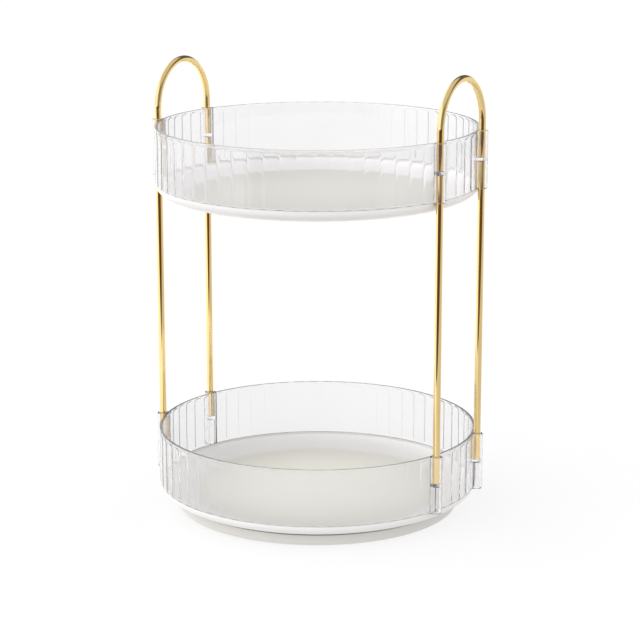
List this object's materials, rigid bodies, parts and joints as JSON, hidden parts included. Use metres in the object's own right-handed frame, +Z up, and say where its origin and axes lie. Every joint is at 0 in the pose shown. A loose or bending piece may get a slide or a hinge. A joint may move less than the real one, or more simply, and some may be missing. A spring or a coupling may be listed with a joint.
{
  "type": "lazy susan turntable",
  "caption": "Two-tier rotating organiser: clear fluted round trays on white dish plates, joined by gold posts with loop handles, spinning on a ball-bearing base.",
  "frame": {"origin": "on the spin axis, in the plane that the rubber feet stand on", "axes": "+Z up along the spin axis; the two handles stand at +X and -X"},
  "size_m": [0.2334, 0.2296, 0.32],
  "materials": {
    "white_plate": "glossy milk-white moulded dish",
    "base_white": "satin white moulded disc",
    "clear_wall": "clear, polished, fluted outside",
    "gold_rod": "mirror-polished gold plating",
    "bearing_steel": "polished bearing steel",
    "zinc_screw": "zinc plated",
    "cage_nylon": "natural nylon",
    "foot_rubber": "matte rubber"
  },
  "bodies": {
    "base": {"base_disc": "base_white", "foot_1": "foot_rubber", "foot_2": "foot_rubber", "foot_3": "foot_rubber", "foot_4": "foot_rubber", "foot_5": "foot_rubber", "foot_6": "foot_rubber"},
    "turntable": {"lower_plate": "white_plate", "lower_ring": "clear_wall", "upper_plate": "white_plate", "upper_ring": "clear_wall", "post_1": "gold_rod", "post_2": "gold_rod", "post_3": "gold_rod", "post_4": "gold_rod", "handle_right": "gold_rod", "handle_left": "gold_rod", "pivot_screw": "zinc_screw", "pivot_washer": "zinc_screw"},
    "ball_cage": {"ball_cage": "cage_nylon"},
    "ball_1": {"ball_1": "bearing_steel"},
    "ball_2": {"ball_2": "bearing_steel"},
    "ball_3": {"ball_3": "bearing_steel"},
    "ball_4": {"ball_4": "bearing_steel"},
    "ball_5": {"ball_5": "bearing_steel"},
    "ball_6": {"ball_6": "bearing_steel"},
    "ball_7": {"ball_7": "bearing_steel"},
    "ball_8": {"ball_8": "bearing_steel"},
    "ball_9": {"ball_9": "bearing_steel"},
    "ball_10": {"ball_10": "bearing_steel"}
  },
  "joints": [
    {"name": "turntable_spin", "type": "hinge", "parent": "base", "child": "turntable", "pos_m": [0, 0, 0.0087], "axis": [0, 0, 1], "continuous": true},
    {"name": "cage_spin", "type": "hinge", "parent": "base", "child": "ball_cage", "pos_m": [0, 0, 0.0063], "axis": [0, 0, 1], "continuous": true},
    {"name": "ball_1_roll", "type": "hinge", "parent": "ball_cage", "child": "ball_1", "pos_m": [0.047, 0, 0.0063], "axis": [1, 0, 0], "continuous": true},
    {"name": "ball_2_roll", "type": "hinge", "parent": "ball_cage", "child": "ball_2", "pos_m": [0.03802, 0.02763, 0.0063], "axis": [0.809, 0.5878, 0], "continuous": true},
    {"name": "ball_3_roll", "type": "hinge", "parent": "ball_cage", "child": "ball_3", "pos_m": [0.01452, 0.0447, 0.0063], "axis": [0.309, 0.9511, 0], "continuous": true},
    {"name": "ball_4_roll", "type": "hinge", "parent": "ball_cage", "child": "ball_4", "pos_m": [-0.01452, 0.0447, 0.0063], "axis": [-0.309, 0.9511, 0], "continuous": true},
    {"name": "ball_5_roll", "type": "hinge", "parent": "ball_cage", "child": "ball_5", "pos_m": [-0.03802, 0.02763, 0.0063], "axis": [-0.809, 0.5878, 0], "continuous": true},
    {"name": "ball_6_roll", "type": "hinge", "parent": "ball_cage", "child": "ball_6", "pos_m": [-0.047, 0, 0.0063], "axis": [-1, 0, 0], "continuous": true},
    {"name": "ball_7_roll", "type": "hinge", "parent": "ball_cage", "child": "ball_7", "pos_m": [-0.03802, -0.02763, 0.0063], "axis": [-0.809, -0.5878, 0], "continuous": true},
    {"name": "ball_8_roll", "type": "hinge", "parent": "ball_cage", "child": "ball_8", "pos_m": [-0.01452, -0.0447, 0.0063], "axis": [-0.309, -0.9511, 0], "continuous": true},
    {"name": "ball_9_roll", "type": "hinge", "parent": "ball_cage", "child": "ball_9", "pos_m": [0.01452, -0.0447, 0.0063], "axis": [0.309, -0.9511, 0], "continuous": true},
    {"name": "ball_10_roll", "type": "hinge", "parent": "ball_cage", "child": "ball_10", "pos_m": [0.03802, -0.02763, 0.0063], "axis": [0.809, -0.5878, 0], "continuous": true}
  ],
  "couplings": [
    {"joint": "cage_spin", "follows": "turntable_spin", "ratio": 0.5},
    {"joint": "ball_1_roll", "follows": "turntable_spin", "ratio": -11.75},
    {"joint": "ball_2_roll", "follows": "turntable_spin", "ratio": -11.75},
    {"joint": "ball_3_roll", "follows": "turntable_spin", "ratio": -11.75},
    {"joint": "ball_4_roll", "follows": "turntable_spin", "ratio": -11.75},
    {"joint": "ball_5_roll", "follows": "turntable_spin", "ratio": -11.75},
    {"joint": "ball_6_roll", "follows": "turntable_spin", "ratio": -11.75},
    {"joint": "ball_7_roll", "follows": "turntable_spin", "ratio": -11.75},
    {"joint": "ball_8_roll", "follows": "turntable_spin", "ratio": -11.75},
    {"joint": "ball_9_roll", "follows": "turntable_spin", "ratio": -11.75},
    {"joint": "ball_10_roll", "follows": "turntable_spin", "ratio": -11.75}
  ]
}
